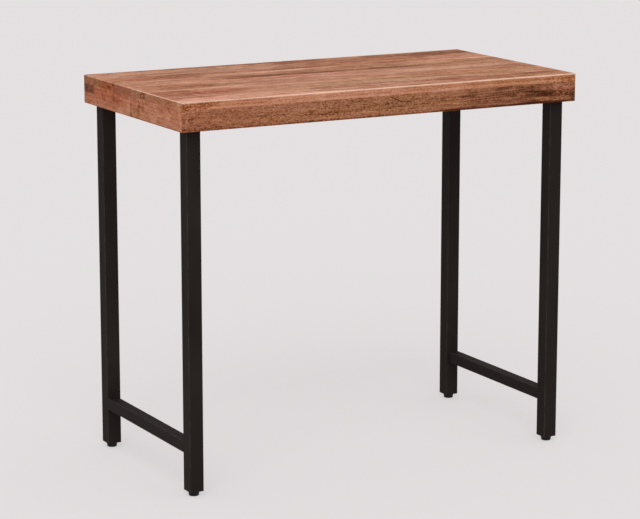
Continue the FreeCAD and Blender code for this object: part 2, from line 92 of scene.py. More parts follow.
class Field:
    """A number that varies over a surface. Sums and products of fields become math nodes."""

    def __init__(self, graph, socket):
        self.graph = graph
        self.socket = socket

    def __add__(self, other):
        return self.graph.math("ADD", self, other)

    def __sub__(self, other):
        return self.graph.math("SUBTRACT", self, other)

    def __rsub__(self, other):
        return self.graph.math("SUBTRACT", other, self)

    def __mul__(self, other):
        return self.graph.math("MULTIPLY", self, other)

    __radd__ = __add__
    __rmul__ = __mul__

    def magnitude(self):
        """The field without its sign."""
        return self.graph.math("ABSOLUTE", self)

    def most(self, other):
        """The larger of two fields."""
        return self.graph.math("MAXIMUM", self, other)

    def rise(self, low, high):
        """Climbs smoothly from 0 to 1 as the field goes from low to high."""
        inputs = {"Value": self, "From Min": low, "From Max": high}
        made = self.graph.node("ShaderNodeMapRange", inputs, interpolation_type="SMOOTHSTEP")
        return Field(self.graph, made.outputs["Result"])

    def band(self, low, high, soft):
        """1 between low and high, falling to 0 over a soft border outside them."""
        return self.rise(low - soft, low) * (1 - self.rise(high, high + soft))

    def near(self, place, reach):
        """1 at a place, falling to 0 at a reach from it."""
        return 1 - (self - place).magnitude().rise(0, reach)


class Graph:
    """The shader nodes of one material or world, with short ways to add them."""

    def __init__(self, owner):
        owner.use_nodes = True
        self.owner = owner
        self.tree = owner.node_tree
        self.tree.nodes.clear()

    def feed(self, socket, value):
        """Links a socket to a field or another socket, or sets it to a plain value."""
        if isinstance(value, Field):
            value = value.socket
        if isinstance(value, bpy.types.NodeSocket):
            self.tree.links.new(value, socket)
        else:
            socket.default_value = value

    def node(self, kind, inputs, **settings):
        """A node with its settings made and its inputs fed."""
        made = self.tree.nodes.new(kind)
        for name, setting in settings.items():
            setattr(made, name, setting)
        for name, value in inputs.items():
            self.feed(made.inputs[name], value)
        return made

    def math(self, operation, *values):
        made = self.node("ShaderNodeMath", dict(enumerate(values)), operation=operation)
        return Field(self, made.outputs[0])

    def split(self, vector):
        """The three parts of a vector as fields."""
        parts = self.node("ShaderNodeSeparateXYZ", {"Vector": vector})
        return [Field(self, out) for out in parts.outputs]

    def join(self, x, y, z):
        """A vector of three fields or numbers."""
        return self.node("ShaderNodeCombineXYZ", {"X": x, "Y": y, "Z": z}).outputs[0]

    def length(self, vector):
        made = self.node("ShaderNodeVectorMath", {0: vector}, operation="LENGTH")
        return Field(self, made.outputs["Value"])

    def place(self):
        """Where a point lies on the part at rest."""
        return self.node("ShaderNodeTexCoord", {}).outputs["Object"]

    def normal(self):
        """Which way the surface faces on the part at rest."""
        return self.node("ShaderNodeTexCoord", {}).outputs["Normal"]

    def noise_node(self, vector, rates, seed, detail=2.0, roughness=0.5, distortion=0.0):
        """A noise node with its own rate along each axis, in cycles a metre."""
        inputs = {0: vector, 1: rates, 2: [step * seed for step in SEED_STEPS]}
        scaled = self.node("ShaderNodeVectorMath", inputs, operation="MULTIPLY_ADD").outputs[0]
        inputs = {"Vector": scaled, "Scale": 1.0, "Detail": detail, "Roughness": roughness}
        return self.node("ShaderNodeTexNoise", {**inputs, "Distortion": distortion})

    def noise(self, vector, rates, seed, **settings):
        """Noise as a field, about a level of 0."""
        return Field(self, self.noise_node(vector, rates, seed, **settings).outputs["Fac"]) - MIDDLE_LEVEL

    def mix(self, factor, first, second, blend_type="MIX"):
        """The first colour at a factor of 0, and the second or its blend with the first at 1."""
        made = self.node("ShaderNodeMix", {0: factor}, data_type="RGBA", blend_type=blend_type)
        self.feed(made.inputs[FIRST_COLOUR], first)
        self.feed(made.inputs[SECOND_COLOUR], second)
        return made.outputs[MIXED_COLOUR]

    def ramp(self, factor, stops):
        """A colour for each level of the factor, from stops spaced evenly between 0 and 1."""
        made = self.node("ShaderNodeValToRGB", {"Fac": factor})
        elements = made.color_ramp.elements
        for index in range(1, len(stops) - 1):
            elements.new(index / (len(stops) - 1))
        for element, colour in zip(elements, stops):
            element.color = colour
        return made.outputs["Color"]

    def bump(self, height, distance, strength):
        inputs = {"Height": height, "Distance": distance, "Strength": strength}
        return self.node("ShaderNodeBump", inputs).outputs["Normal"]

    def surface(self, **inputs):
        """Ends the material in one principled shader."""
        named = {name.replace("_", " "): value for name, value in inputs.items()}
        shader = self.node("ShaderNodeBsdfPrincipled", named)
        self.node("ShaderNodeOutputMaterial", {"Surface": shader.outputs["BSDF"]})
        return self.owner


def weighed(weights, fields):
    """The sum of fields, each times its weight."""
    return sum(weight * fields[name] for name, weight in weights.items())


# Wood

# Tones from dark to light
PANEL_TONES = [
    srgb(94, 44, 14), srgb(138, 77, 38), srgb(181, 123, 92), srgb(208, 155, 128), srgb(228, 184, 164)]
RAIL_TONES = [
    srgb(62, 26, 8), srgb(109, 61, 34), srgb(154, 98, 69), srgb(176, 122, 94), srgb(198, 148, 118)]
END_TONES = [
    srgb(90, 42, 18), srgb(130, 71, 36), srgb(166, 103, 70), srgb(184, 124, 95), srgb(206, 152, 122)]
KNOT_COLOUR = srgb(96, 42, 16)
HALO_COLOUR = srgb(164, 84, 40)
PORE_COLOUR = srgb(62, 34, 22)
# The pale colour painted along the upper arrises as their highlight
ARRIS_HIGHLIGHT_COLOUR = srgb(250, 208, 184)

# Layers of noise, with rates in cycles a metre along the grain, across it and in height
WOOD_LAYERS = {
    # Broad streaks of heartwood, narrower streaks, fine lines, fibres and open pores
    "broad": dict(rates=(1.7, 19, 19), seed=11, detail=3.0, roughness=0.55),
    "streak": dict(rates=(4.5, 58, 58), seed=23, detail=4.0, roughness=0.65),
    "fine": dict(rates=(12, 260, 260), seed=31, detail=3.0, roughness=0.6),
    "fibre": dict(rates=(46, 1500, 1500), seed=41),
    "pore": dict(rates=(34, 620, 620), seed=53, detail=1.0),
    # Curled flecks, specks and rippled figure
    "curl": dict(rates=(75, 180, 180), seed=61, detail=3.0, roughness=0.75, distortion=1.5),
    "speck": dict(rates=(170, 380, 380), seed=97, detail=2.0, roughness=0.7),
    "ripple": dict(rates=(24, 48, 48), seed=83, detail=2.0, roughness=0.6, distortion=0.8),
    # Changes of hue
    "rose": dict(rates=(0.9, 7, 7), seed=71),
    "amber": dict(rates=(1.6, 11, 11), seed=73),
    "amber_fleck": dict(rates=(38, 80, 80), seed=79),
}
STREAK_WEIGHTS = {"broad": 1.0, "streak": 1.2}
FLECK_WEIGHTS = {"curl": 1.0, "speck": 0.8}
FINE_WEIGHT = 0.55
FIBRE_WEIGHTS = {"fibre": 0.25, "late": -0.1}
AMBER_FLECK_SHARE = 0.5
ROSE_SHARE = 0.3
AMBER_SHARE = 0.5
PORE_LEVELS = (0.13, 0.24)
PORE_SHARE = 0.5
FACING_LEVELS = (0.5, 0.85)
END_EDGE_SHARE = 0.7

# How the grain wanders along a board and parts round a knot, in shares of the knot's radius
WANDER_RATES = (0.9, 5.0, 5.0)
WANDER = 0.034
KNOT_RATES = (130, 130, 130)
KNOT_ROUGH_SHARE = 0.6
PARTING_SHARE = 1.2
PARTING_REACH_SHARE = 4
KNOT_REACH_SHARE = 2
HALO_LEVELS = (0.1, 0.6)
HALO_SHARE = 0.7
CORE_LEVELS = (0.5, 0.9)
CORE_SHARE = 0.85

# Growth rings
RINGS_PER_METRE = 105
RING_SEED = 3
RING_WAVE_RATES = (2.0, 14, 14)
RING_WAVE = 0.8
RING_RISE = (0.35, 0.93)
RING_FALL = (0.94, 1.0)

# Borders of marks, glue lines between staves and the painted highlight on the upper arrises
RAGGED_SHARE = 0.06
RAGGED_ALONG = 2.5
RAGGED_ASIDE = 0.25
MARK_FADE = 0.07
SHORT_FADE = 0.006
MARK_SOFT_ACROSS = 0.01
MARK_SOFT_HEIGHT = 0.006
GLUE_REACH = 0.0009
GLUE_SHARE = 0.5
# Reach and strength of the painted highlight on the upper arrises, on the long sides and the ends
SIDE_ARRIS_REACH = 0.0055
END_ARRIS_REACH = 0.0034
END_HIGHLIGHT = 0.95
END_HIGHLIGHT_LOSS = 0.6
END_HIGHLIGHT_LIMITS = (-0.1, 0.1)
ARRIS_HIGHLIGHT_SHARE = 0.85
ARRIS_HIGHLIGHT_WEIGHTS = {"streak": 0.8, "curl": 0.6}

# Satin oil
WOOD_GLOSS = 0.10
WOOD_ROUGHNESS = 0.62
ROUGHNESS_WEIGHTS = {"fine": 0.2, "pore": 0.1, "end_grain": 0.08, "wear": -0.12}
RELIEF_WEIGHTS = {"fine": 0.5, "fibre": 0.4, "pore": -0.4, "late": -0.12}
RELIEF_DEPTH = 0.0003
RELIEF_STRENGTH = 0.6


def part_round_knots(graph, board, seed, knots):
    """The grain as it wanders along a board and parts round its knots, and how close a point is to a knot."""
    along, across, height = graph.split(board)
    wander = graph.split(graph.noise_node(board, WANDER_RATES, seed).outputs["Color"])
    across = across + WANDER * (wander[0] - MIDDLE_LEVEL)
    height = height + WANDER * (wander[1] - MIDDLE_LEVEL)
    closest = None
    for centre, radius, squeeze in knots:
        beside = [by * (part - place) for by, part, place in zip(squeeze, graph.split(board), centre)]
        distance = graph.length(graph.join(*beside))
        distance = distance + KNOT_ROUGH_SHARE * radius * graph.noise(board, KNOT_RATES, seed)
        across = across + PARTING_SHARE * radius * (1 - distance.rise(0, PARTING_REACH_SHARE * radius))
        closeness = 1 - distance.rise(0, KNOT_REACH_SHARE * radius)
        closest = closeness if closest is None else closest.most(closeness)
    return graph.join(along, across, height), closest


def late_wood(graph, flow, seed, heart):
    """1 in the dark late edge of each growth ring about the heart of the tree."""
    _, across, height = graph.split(flow)
    distance = graph.length(graph.join(0.0, across - heart[0], height - heart[1]))
    wave = RING_WAVE * graph.noise(flow, RING_WAVE_RATES, seed + RING_SEED)
    within = graph.math("FRACT", RINGS_PER_METRE * distance + wave)
    return within.rise(*RING_RISE) * (1 - within.rise(*RING_FALL))


def board_fields(graph, grain, seed, heart, knots):
    """What a board's look is made of: its place, faces, knots, growth rings and layers of noise."""
    x, y, z = graph.split(graph.place())
    along, across = (x, y) if grain == "X" else (y, x)
    flow, knot = part_round_knots(graph, graph.join(along, across, z), seed, knots)
    facing_x, facing_y = [part.magnitude().rise(*FACING_LEVELS) for part in graph.split(graph.normal())[:Z]]
    end_grain, long_edge = (facing_x, facing_y) if grain == "X" else (facing_y, facing_x)
    layers = {}
    for layer, settings in WOOD_LAYERS.items():
        layers[layer] = graph.noise(flow, **{**settings, "seed": seed + settings["seed"]})
    layers["pore"] = layers["pore"].rise(*PORE_LEVELS)
    late = late_wood(graph, flow, seed, heart)
    return SimpleNamespace(x=x, y=y, z=z, along=along, across=across, end_grain=end_grain,
                           long_edge=long_edge, knot=knot, late=late, **layers)


def mark_cover(mark, board):
    """How far a mark's zone covers a point, with ragged borders."""
    ragged = mark.get("ragged", 1.0) * RAGGED_SHARE * board.streak
    cover = (board.along + RAGGED_ALONG * ragged).band(*mark["along"], mark.get("fade", MARK_FADE))
    drift = RAGGED_ASIDE * ragged
    if "slant" in mark:
        drift = drift + mark["slant"] * (board.along - mark["along"][0])
    if "across" in mark:
        cover = cover * (board.across + drift).band(*mark["across"], mark.get("soft", MARK_SOFT_ACROSS))
    if "height" in mark:
        cover = cover * (board.z + drift).band(*mark["height"], mark.get("soft", MARK_SOFT_HEIGHT))
    return cover


def wood_tone(board, lift, streaks, figure, fleck, edge, marks):
    """How light a board is at a point, and how far its hue goes to rose and to amber."""
    fields = vars(board)
    strength = 1 - (1 - edge) * board.long_edge.most(END_EDGE_SHARE * board.end_grain)
    grain = streaks * weighed(STREAK_WEIGHTS, fields) + figure * board.ripple + FINE_WEIGHT * board.fine
    levels = {
        "tone": MIDDLE_LEVEL + lift + strength * grain + weighed(FIBRE_WEIGHTS, fields),
        "streaks": 0.0,
        "fleck": fleck,
        "rose": strength * board.rose,
        "amber": board.amber + AMBER_FLECK_SHARE * fleck * board.amber_fleck,
    }
    for mark in marks:
        cover = mark_cover(mark, board)
        for level in levels:
            if level in mark:
                levels[level] = levels[level] + mark[level] * cover
    tone = levels["tone"] + levels["streaks"] * board.fine + levels["fleck"] * weighed(FLECK_WEIGHTS, fields)
    return tone, levels["rose"], levels["amber"]


def arris_wear(board):
    """How far the upper arrises are painted pale as a highlight: the long ones most, the ends to the front.
    """
    x, y, z = board.x, board.y, board.z
    end = x.near(LEFT, END_ARRIS_REACH).most(x.near(RIGHT, END_ARRIS_REACH))
    end = end * z.near(TOP, END_ARRIS_REACH) * (END_HIGHLIGHT - END_HIGHLIGHT_LOSS * y.rise(*END_HIGHLIGHT_LIMITS))
    side = y.near(FRONT, SIDE_ARRIS_REACH).most(y.near(BACK, SIDE_ARRIS_REACH))
    side = side * z.near(TOP, SIDE_ARRIS_REACH)
    return side.most(end) * (ARRIS_HIGHLIGHT_SHARE + weighed(ARRIS_HIGHLIGHT_WEIGHTS, vars(board)))


def wood_colour(graph, board, shades, tones, end_tint, seams):
    """A board's colour: end grain is darker, knots are dark in an orange halo, and the upper arrises carry a
    painted highlight.
    """
    tone, rose, amber = shades
    less_red = 1 - ROSE_SHARE * rose
    tint = graph.join(2 - less_red, less_red, less_red - AMBER_SHARE * amber)
    colour = graph.mix(1.0, graph.ramp(tone, tones), tint, "MULTIPLY")
    colour = graph.mix(PORE_SHARE * board.pore, colour, PORE_COLOUR)
    for seam in seams:
        glue = board.across.near(seam, GLUE_REACH) * (GLUE_SHARE + board.streak)
        colour = graph.mix(glue, colour, PORE_COLOUR)
    oiled = graph.mix(1.0, colour, (*end_tint, 1.0), "MULTIPLY")
    colour = graph.mix(board.end_grain, colour, oiled)
    if board.knot is not None:
        colour = graph.mix(HALO_SHARE * board.knot.rise(*HALO_LEVELS), colour, HALO_COLOUR)
        colour = graph.mix(CORE_SHARE * board.knot.rise(*CORE_LEVELS), colour, KNOT_COLOUR)
    # A painted highlight along the upper arrises
    return graph.mix(board.wear, colour, ARRIS_HIGHLIGHT_COLOUR)


def wood(name, grain, tones, seed, heart, lift=0.0, streaks=0.85, figure=0.7, fleck=0.6, edge=1.0,
         end_tint=(0.78, 0.76, 0.74), marks=(), knots=(), seams=()):
    """A board's material, with its fibres along X or Y. The heart of the tree lay at (across, height). Edge
    is the share of the streaks that shows on the narrow faces. A knot is given by its centre, its radius and
    how it is squeezed along each axis. Seams are the places across the grain where the board is glued."""
    graph = Graph(bpy.data.materials.new(name))
    board = board_fields(graph, grain, seed, heart, knots)
    shades = wood_tone(board, lift, streaks, figure, fleck, edge, marks)
    # Where the upper arrises get their painted highlight
    board.wear = arris_wear(board)
    colour = wood_colour(graph, board, shades, tones, end_tint, seams)
    roughness = WOOD_ROUGHNESS + weighed(ROUGHNESS_WEIGHTS, vars(board))
    finish = graph.bump(weighed(RELIEF_WEIGHTS, vars(board)), RELIEF_DEPTH, RELIEF_STRENGTH)
    return graph.surface(Base_Color=colour, Roughness=roughness, Specular_IOR_Level=WOOD_GLOSS, Normal=finish)


# Marks are zones of a board, with limits along the grain and across it or in height. Tone lightens or darkens
# a zone, and rose, amber, fleck and streaks add to those of its board. Its borders fade along the grain and
# are soft aside. Slant is its drift aside for each metre along, and ragged how uneven its borders are.

def on_top(left, right, back, front, tone, **more):
    """A mark on the panel, measured from the left end and the back edge of the top."""
    return {"along": (LEFT + left, LEFT + right), "across": (BACK - front, BACK - back), "tone": tone, **more}


def on_front(left, right, upper, lower, tone, **more):
    """A mark on a long rail, measured from the left end and down from the top."""
    return {"along": (LEFT + left, LEFT + right), "height": (TOP - lower, TOP - upper), "tone": tone, **more}


def on_left_rail(back, front, upper, lower, tone, **more):
    """A short mark on the left rail, measured from the back edge and down from the top."""
    limits = {"along": (BACK - front, BACK - back), "height": (TOP - lower, TOP - upper)}
    return {**limits, "fade": SHORT_FADE, "tone": tone, **more}


# Each stave's look, from the front to the back
STAVES = [
    dict(seed=2.3, heart=(-0.30, 0.80), lift=0.03, streaks=0.75, end_tint=(0.74, 0.66, 0.53), marks=[
        on_top(0.05, 0.35, 0.53, 0.60, 0.12, rose=0.10),
        on_top(0.02, 0.62, 0.600, 0.615, 0.14),
        on_top(-0.1, 1.30, 0.617, 0.63, -0.10, soft=0.002),
        on_top(0.28, 0.80, 0.617, 0.63, 0.08, soft=0.002),
        on_top(0.80, 1.13, 0.617, 0.63, 0.09, soft=0.002, height=(TOP - 0.03, TOP - 0.012)),
        on_top(-0.1, 0.08, 0.617, 0.63, -0.19, soft=0.002, fade=0.04, fleck=0.8),
        on_top(1.14, 1.30, 0.617, 0.63, -0.08, soft=0.002, fade=0.03, fleck=0.6, amber=0.15),
        on_top(0.83, 1.20, 0.52, 0.595, -0.12, rose=0.06, amber=0.08),
        on_top(0.43, 0.80, 0.53, 0.555, -0.08),
    ]),
    dict(seed=7.9, heart=(-0.12, 0.86), lift=0.04, streaks=0.6, figure=0.55,
         end_tint=(0.82, 0.81, 0.74), marks=[
        on_top(0.04, 0.22, 0.42, 0.50, -0.12, rose=0.16),
        on_top(0.094, 0.112, 0.494, 0.514, 0.16, fade=0.004, soft=0.004, ragged=0.1),
        on_top(0.30, 0.80, 0.41, 0.52, 0.0, rose=-0.08, fade=0.15),
        on_top(0.83, 1.18, 0.43, 0.48, -0.07, rose=0.06, amber=0.08),
    ], knots=[
        ((LEFT + 0.117, BACK - 0.474, TOP), 0.020, (2, 0.95, 1)),
    ]),
    dict(seed=13.1, heart=(-0.10, 0.70), lift=0.05, streaks=0.55, figure=0.5,
         end_tint=(0.69, 0.66, 0.61), marks=[
        on_top(0.30, 1.10, 0.31, 0.41, 0.0, rose=-0.10, amber=0.05, fade=0.15),
        on_top(-0.1, 0.0, 0.375, 0.398, -0.22, fade=0.001, height=(TOP - 0.018, TOP - 0.003)),
        on_top(0.06, 0.19, 0.315, 0.395, -0.14),
        on_top(0.04, 0.27, 0.399, 0.411, 0.16),
    ]),
    dict(seed=19.7, heart=(0.10, 0.78), lift=0.02, streaks=0.65, figure=0.55,
         end_tint=(0.62, 0.46, 0.38), marks=[
        on_top(0.31, 0.45, 0.248, 0.268, -0.22, slant=0.02, amber=0.15),
        on_top(0.45, 1.00, 0.255, 0.267, -0.12, slant=0.02, amber=0.15),
        on_top(0.55, 0.61, 0.252, 0.272, -0.20, slant=0.02),
        on_top(0.77, 0.87, 0.256, 0.278, -0.18, slant=0.02),
        on_top(0.34, 0.55, 0.215, 0.245, -0.06),
    ]),
    dict(seed=28.3, heart=(0.22, 0.72), lift=0.0, end_tint=(0.67, 0.51, 0.35), marks=[
        on_top(0.0, 0.20, 0.125, 0.195, -0.06, rose=0.12),
        on_top(0.32, 0.56, 0.172, 0.192, 0.20, rose=-0.10),
        on_top(0.60, 1.0, 0.11, 0.16, -0.10, rose=0.06, amber=0.10),
    ], knots=[
        ((LEFT, BACK - 0.196, TOP - 0.004), 0.009, (1, 1, 1)),
        ((LEFT, BACK - 0.170, TOP - 0.014), 0.018, (1, 1, 3)),
    ]),
    dict(seed=35.9, heart=(0.34, 0.84), lift=0.02, end_tint=(0.58, 0.49, 0.38), marks=[
        on_top(0.0, 0.45, 0.02, 0.09, 0.08),
        on_top(0.60, 1.20, 0.02, 0.10, -0.14, rose=0.06, amber=0.10),
    ]),
]
STAVE_EDGE = 0.2

FRONT_RAIL_MARKS = [
    # The shaded lower arris, and the darker right half with its stain
    on_front(-0.1, 1.30, 0.0728, 0.080, -0.17, soft=0.0012, rose=0.1),
    on_front(0.80, 1.12, 0.0720, 0.080, -0.14, soft=0.002, rose=0.1),
    on_front(0.88, 1.30, 0.010, 0.090, -0.14),
    on_front(1.06, 1.30, 0.046, 0.080, -0.16, fade=0.04, soft=0.01),
    on_front(1.02, 1.07, 0.028, 0.041, -0.14, fade=0.02, soft=0.006),
    on_front(1.08, 1.12, 0.049, 0.059, -0.16, fade=0.02, soft=0.004),
    on_front(1.07, 1.16, 0.0610, 0.0725, 0.20, fade=0.02, soft=0.002, amber=0.30),
    on_front(1.14, 1.30, 0.022, 0.050, 0.09, fade=0.03, soft=0.012, rose=0.1),
    on_front(0.78, 1.07, 0.022, 0.080, 0.0, streaks=0.65, fleck=-0.5),
    on_front(1.10, 1.30, 0.022, 0.080, 0.0, fade=0.03, streaks=-0.35, fleck=0.2),
    # A bent dark line and a pin knot near the middle
    on_front(0.615, 0.640, 0.027, 0.029, -0.35, fade=0.004, soft=0.001, slant=0.44, ragged=0.2),
    on_front(0.640, 0.676, 0.038, 0.040, -0.35, fade=0.006, soft=0.001, slant=0.14, ragged=0.2),
    on_front(0.6020, 0.6060, 0.0420, 0.0458, -1.2, fade=0.001, soft=0.001, ragged=0.0),
]
LEFT_RAIL_MARKS = [
    # The shaded lower arris, then broad zones and short dark lines
    on_left_rail(0.33, 0.7, 0.0726, 0.080, -0.18, soft=0.0012),
    on_left_rail(0.08, 0.25, 0.018, 0.052, -0.05, fade=0.04, soft=0.012, rose=0.18, amber=0.2),
    on_left_rail(0.08, 0.28, 0.056, 0.080, 0.10, fade=0.04),
    on_left_rail(0.430, 0.700, 0.0, 0.1, 0.14, fade=0.12),
    on_left_rail(0.306, 0.312, 0.040, 0.075, -0.26, ragged=0.2),
    on_left_rail(0.355, 0.360, 0.030, 0.062, -0.20, ragged=0.2, slant=-0.5),
    on_left_rail(0.384, 0.390, 0.024, 0.050, -0.16, ragged=0.2),
    on_left_rail(0.245, 0.300, 0.035, 0.065, 0.08, fade=0.02),
    on_left_rail(0.185, 0.240, 0.018, 0.056, -0.10, fade=0.02, slant=0.2),
]
RAILS = {
    "front_rail": dict(grain="X", tones=RAIL_TONES, seed=44.1, heart=(-0.45, 1.06), streaks=0.1, figure=0.12,
                       fleck=1.3, marks=FRONT_RAIL_MARKS),
    "back_rail": dict(grain="X", tones=RAIL_TONES, seed=51.7, heart=(0.40, 0.90), streaks=0.4, fleck=1.2,
                      end_tint=(0.57, 0.50, 0.38)),
    "left_rail": dict(grain="Y", tones=END_TONES, seed=57.3, heart=(-0.66, 1.10), streaks=0.35, figure=0.8,
                      fleck=0.85, marks=LEFT_RAIL_MARKS),
    "right_rail": dict(grain="Y", tones=END_TONES, seed=63.9, heart=(0.62, 1.12), streaks=0.35, figure=0.8,
                       fleck=1.1, end_tint=(0.72, 0.72, 0.70)),
    "centre_batten": dict(grain="Y", tones=RAIL_TONES, seed=71.3, heart=(0.05, 0.95), fleck=0.5),
    "front_left_mitre_key": dict(grain="X", tones=RAIL_TONES, seed=77.9, heart=(-0.30, 0.90)),
    "front_right_mitre_key": dict(grain="X", tones=RAIL_TONES, seed=83.1, heart=(-0.24, 0.94)),
}


def finish_node(name, material):
    """Gives a node of the frame its material."""
    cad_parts[name].data.materials[0] = material


def glued_sides(stave):
    """Where a stave meets its neighbours: its two long sides, without the panel's own edges."""
    return [side.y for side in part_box(stave) if FRONT + GLUE_REACH < side.y < BACK - GLUE_REACH]


for number, look in enumerate(STAVES, start=1):
    stave = f"top_stave_{number}"
    shared = dict(grain="X", tones=PANEL_TONES, edge=STAVE_EDGE, seams=glued_sides(stave))
    finish_node(stave, wood(f"{stave}_wood", **shared, **look))
for rail, look in RAILS.items():
    finish_node(rail, wood(f"{rail}_wood", **look))


# Metal and plastic, with noise in cycles a metre along each axis

STEEL_TONES = [srgb(29, 23, 22), srgb(35, 29, 27), srgb(42, 35, 33)]
STEEL_GLOSS = 0.06
STEEL_ROUGHNESS = 0.68
STEEL_ROUGHNESS_WEIGHTS = {"cloud": 0.2, "peel": 0.1}
PEEL = dict(rates=(900, 900, 900), seed=1.0)
PEEL_DEPTH = 0.00006
PEEL_STRENGTH = 0.5
CLOUD = dict(rates=(9, 9, 4), seed=5.0, detail=3.0)
CLOUD_CONTRAST = 1.6
# A paler colour painted along the tube corners as their highlight, broken up by noise
CORNER_HIGHLIGHT_STEEL = srgb(72, 65, 62)
CORNER_HIGHLIGHT_REACH = 0.0035
CORNER_HIGHLIGHT_SHARE = 0.8
CORNER_ROUGHNESS_DROP = 0.15
CORNER_BREAKUP = dict(rates=(60, 60, 25), seed=12.0, detail=4.0, roughness=0.7)
CORNER_BREAKUP_LEVELS = (-0.25, 0.35)


def highlight_corners(graph, node, axes):
    """1 along the long corners of a square tube and of those that mirror it, given the axes across it, where
    a highlight is painted.
    """
    lowest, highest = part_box(node)
    place = graph.split(graph.place())
    closeness = []
    for axis in axes:
        centre = abs(lowest[axis] + highest[axis]) / 2
        half = (highest[axis] - lowest[axis]) / 2
        aside = (place[axis].magnitude() - centre).magnitude()
        closeness.append(aside.rise(half - CORNER_HIGHLIGHT_REACH, half))
    return closeness[0] * closeness[1]


def coated_steel(name, tube=None, axes=()):
    """Satin black powder coat, with its orange peel, a little unevenness and a painted highlight along a
    tube's corners.
    """
    graph = Graph(bpy.data.materials.new(name))
    place = graph.place()
    layers = {"peel": graph.noise(place, **PEEL), "cloud": graph.noise(place, **CLOUD)}
    colour = graph.ramp(MIDDLE_LEVEL + CLOUD_CONTRAST * layers["cloud"], STEEL_TONES)
    roughness = STEEL_ROUGHNESS + weighed(STEEL_ROUGHNESS_WEIGHTS, layers)
    if tube is not None:
        # Paler and a little smoother along the tube's corners: a painted highlight, broken up by noise
        corner_highlight = highlight_corners(graph, tube, axes) * graph.noise(place, **CORNER_BREAKUP).rise(*CORNER_BREAKUP_LEVELS)
        colour = graph.mix(CORNER_HIGHLIGHT_SHARE * corner_highlight, colour, CORNER_HIGHLIGHT_STEEL)
        roughness = roughness - CORNER_ROUGHNESS_DROP * corner_highlight
    finish = graph.bump(layers["peel"], PEEL_DEPTH, PEEL_STRENGTH)
    return graph.surface(Base_Color=colour, Roughness=roughness, Normal=finish,
                         Specular_IOR_Level=STEEL_GLOSS)


NYLON_GLOSS = 0.12
NYLON_ROUGHNESS = 0.6
NYLON_GRAIN = dict(rates=(1600, 1600, 1600), seed=3.0)
NYLON_GRAIN_SHARE = 0.15
NYLON_GRAIN_DEPTH = 0.00005
NYLON_GRAIN_STRENGTH = 0.6
NYLON_CLOUD = dict(rates=(60, 60, 60), seed=7.0)
PLAIN_CONTRAST = 2


def moulded_plastic(name, dark, light):
    """Black nylon with a fine spark-eroded grain."""
    graph = Graph(bpy.data.materials.new(name))
    place = graph.place()
    grain = graph.noise(place, **NYLON_GRAIN)
    colour = graph.ramp(MIDDLE_LEVEL + PLAIN_CONTRAST * graph.noise(place, **NYLON_CLOUD), [dark, light])
    roughness = NYLON_ROUGHNESS + NYLON_GRAIN_SHARE * grain
    finish = graph.bump(grain, NYLON_GRAIN_DEPTH, NYLON_GRAIN_STRENGTH)
    return graph.surface(Base_Color=colour, Roughness=roughness, Normal=finish,
                         Specular_IOR_Level=NYLON_GLOSS)


TOOL_MARKS = dict(rates=(300, 300, 2600), seed=9.0)
TOOL_MARK_SHARE = 0.12
TOOL_MARK_DEPTH = 0.00003
TOOL_MARK_STRENGTH = 0.4
METAL_CLOUD = dict(rates=(140, 140, 140), seed=4.0, detail=3.0)


def plain_metal(name, dark, light, roughness):
    """Turned or plated metal with faint tool marks."""
    graph = Graph(bpy.data.materials.new(name))
    place = graph.place()
    marks = graph.noise(place, **TOOL_MARKS)
    colour = graph.ramp(MIDDLE_LEVEL + PLAIN_CONTRAST * graph.noise(place, **METAL_CLOUD), [dark, light])
    roughness = roughness + TOOL_MARK_SHARE * marks
    finish = graph.bump(marks, TOOL_MARK_DEPTH, TOOL_MARK_STRENGTH)
    return graph.surface(Base_Color=colour, Metallic=1.0, Roughness=roughness, Normal=finish)


steel = coated_steel("black_powder_coat")
leg_steel = coated_steel("leg_powder_coat", "front_left_leg", (X, Y))
stretcher_steel = coated_steel("stretcher_powder_coat", "left_stretcher", (X, Z))
plug_plastic = moulded_plastic("plug_nylon", srgb(26, 22, 21), srgb(34, 29, 28))
foot_plastic = moulded_plastic("foot_nylon", srgb(27, 24, 25), srgb(36, 33, 34))
zinc = plain_metal("zinc_plate", srgb(176, 178, 182), srgb(206, 207, 209), roughness=0.28)
brass = plain_metal("turned_brass", srgb(196, 162, 96), srgb(222, 190, 122), roughness=0.24)
black_oxide = plain_metal("black_oxide", srgb(40, 40, 43), srgb(62, 62, 66), roughness=0.34)

finish_node("plate_screws", black_oxide)
finish_node("plate_inserts", brass)
finish_node("batten_screws", zinc)
for end in ENDS:
    finish_node(f"{end}_stretcher", stretcher_steel)
for corner in CORNERS:
    finish_node(f"{corner}_leg", leg_steel)
    finish_node(f"{corner}_plate", steel)
    finish_node(f"{corner}_leg_plug", plug_plastic)
    finish_node(f"{corner}_foot_stud", zinc)
    finish_node(f"{corner}_foot_pad", foot_plastic)


# Small pieces that the solids leave plain

SHARP_ANGLE = 35
TURNED_STEPS = 48
ARC_STEPS = 6


def add_piece(name, shells, material, body):
    """A piece made of shells of rings, each closed at both ends, that moves with a body."""
    shape = bmesh.new()
    for rings in shells:
        loops = [[shape.verts.new(point) for point in ring] for ring in rings]
        for lower, upper in zip(loops, loops[1:]):
            for step in range(len(lower)):
                after = (step + 1) % len(lower)
                shape.faces.new((lower[step], lower[after], upper[after], upper[step]))
        shape.faces.new(loops[0])
        shape.faces.new(loops[-1])
    bmesh.ops.recalc_face_normals(shape, faces=shape.faces)
    mesh = bpy.data.meshes.new(name)
    shape.to_mesh(mesh)
    shape.free()
    mesh.materials.append(material)
    mesh.shade_smooth()
    mesh.set_sharp_from_angle(angle=math.radians(SHARP_ANGLE))
    piece = bpy.data.objects.new(name, mesh)
    bpy.context.scene.collection.objects.link(piece)
    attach(piece, body)
    return piece


